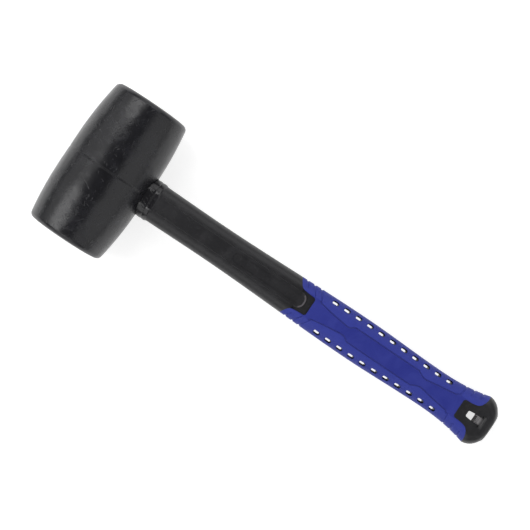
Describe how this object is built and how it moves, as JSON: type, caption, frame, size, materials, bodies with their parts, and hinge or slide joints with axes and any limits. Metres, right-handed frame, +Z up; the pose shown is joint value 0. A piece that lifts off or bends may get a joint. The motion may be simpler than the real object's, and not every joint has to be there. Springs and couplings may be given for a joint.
{
  "type": "rubber mallet",
  "caption": "Rubber mallet with a barrel-shaped solid rubber head and a straight glass-fibre-cored handle in a black jacket with a slotted blue soft grip and a hang hole in its butt.",
  "frame": {"origin": "middle of the mallet's bounding box in plan, on the surface that it lies on", "axes": "+X from the head to the butt, level; +Y along the head's own axis, square to its striking faces; +Z up from the surface. The mallet lies at rest on the barrel of its head and the end of its butt, so the handle slopes down towards the butt by 3.9 degrees"},
  "size_m": [0.3524, 0.112, 0.0646],
  "materials": {
    "black_rubber": "satin",
    "jacket_plastic": "satin",
    "grip_rubber": "matte",
    "glass_fibre": "satin",
    "adhesive": "satin"
  },
  "bodies": {
    "root": {"rubber_head": "black_rubber", "socket_adhesive": "adhesive", "fibreglass_core": "glass_fibre", "handle_jacket": "jacket_plastic", "grip_sleeve": "grip_rubber"}
  },
  "joints": []
}
